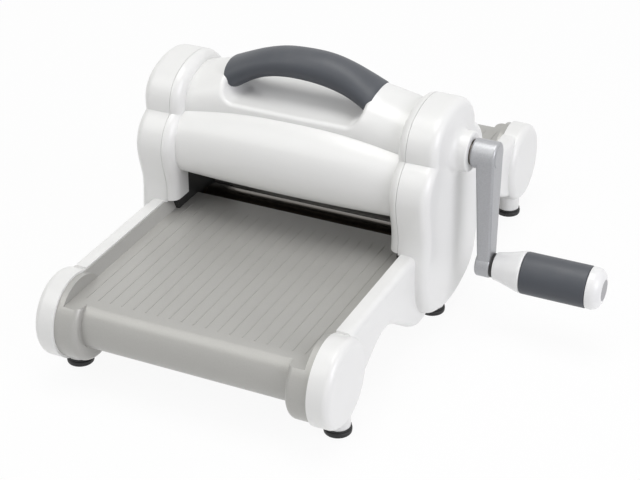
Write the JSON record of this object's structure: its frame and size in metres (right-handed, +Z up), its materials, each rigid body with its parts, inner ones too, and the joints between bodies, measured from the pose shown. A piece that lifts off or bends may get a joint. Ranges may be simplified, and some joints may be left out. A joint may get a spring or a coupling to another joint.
{
  "type": "hand-cranked die cutting machine",
  "caption": "Tabletop roller press for cutting and embossing paper: white waisted side towers, grey feed tray, carry handle over the bridge and a side crank that drives geared rollers.",
  "frame": {"origin": "on the table under the middle of the whole box, crank included", "axes": "+X along the rollers towards the crank, +Y from the feed side to the exit side, +Z up"},
  "size_m": [0.301, 0.362, 0.1669],
  "materials": {
    "white_cover": "glossy moulded white",
    "grey_tray": "satin silver-grey",
    "slate_grip": "soft slate overmould",
    "handle_white": "glossy moulded white",
    "plug_grey": "satin grey",
    "crank_silver": "silver paint on a casting",
    "steel": "bright zinc plate",
    "roller_steel": "dark oiled steel",
    "plate_steel": "black coated sheet",
    "gear_steel": "machined steel",
    "bush_bronze": "plain bearing bronze",
    "foot_rubber": "matt black rubber",
    "washer_black": "black nylon"
  },
  "bodies": {
    "chassis": {"left_side_cover": "white_cover", "right_side_cover": "white_cover", "bridge_front_cover": "white_cover", "bridge_rear_cover": "white_cover", "carry_handle_grip": "slate_grip", "front_tray": "grey_tray", "front_lower_cover": "grey_tray", "rear_tray": "grey_tray", "rear_lower_cover": "grey_tray", "left_side_plate": "plate_steel", "right_side_plate": "plate_steel", "tie_rods": "steel", "tie_rod_nuts": "steel", "roller_bushes": "bush_bronze", "crank_bushes": "bush_bronze", "cover_screws": "steel", "lower_cover_screws": "steel", "rubber_feet": "foot_rubber", "foot_screws": "steel"},
    "upper_roller": {"upper_roller": "roller_steel", "upper_sync_gear": "gear_steel", "upper_drive_gear": "gear_steel", "upper_roller_clips": "steel"},
    "lower_roller": {"lower_roller": "roller_steel", "lower_sync_gear": "gear_steel", "lower_roller_clips": "steel"},
    "crank": {"crank_shaft": "steel", "crank_pinion": "gear_steel", "crank_arm": "crank_silver", "crank_hub_screw": "steel", "crank_hub_cap": "crank_silver", "handle_spindle": "steel", "spindle_washer": "washer_black"},
    "crank_handle": {"handle_ferrule": "handle_white", "handle_sleeve": "slate_grip", "handle_end_cap": "handle_white", "handle_end_plug": "plug_grey"}
  },
  "joints": [
    {"name": "crank_turn", "type": "hinge", "parent": "chassis", "child": "crank", "pos_m": [0.05055, 0, 0.1195], "axis": [1, 0, 0], "continuous": true},
    {"name": "upper_roller_turn", "type": "hinge", "parent": "chassis", "child": "upper_roller", "pos_m": [-0.04945, 0, 0.091], "axis": [1, 0, 0], "continuous": true},
    {"name": "lower_roller_turn", "type": "hinge", "parent": "chassis", "child": "lower_roller", "pos_m": [-0.04945, 0, 0.041], "axis": [1, 0, 0], "continuous": true},
    {"name": "handle_spin", "type": "hinge", "parent": "crank", "child": "crank_handle", "pos_m": [0.11055, 0, 0.0435], "axis": [1, 0, 0], "continuous": true}
  ],
  "couplings": [
    {"joint": "upper_roller_turn", "follows": "crank_turn", "ratio": -0.58333},
    {"joint": "lower_roller_turn", "follows": "crank_turn", "ratio": 0.58333}
  ]
}
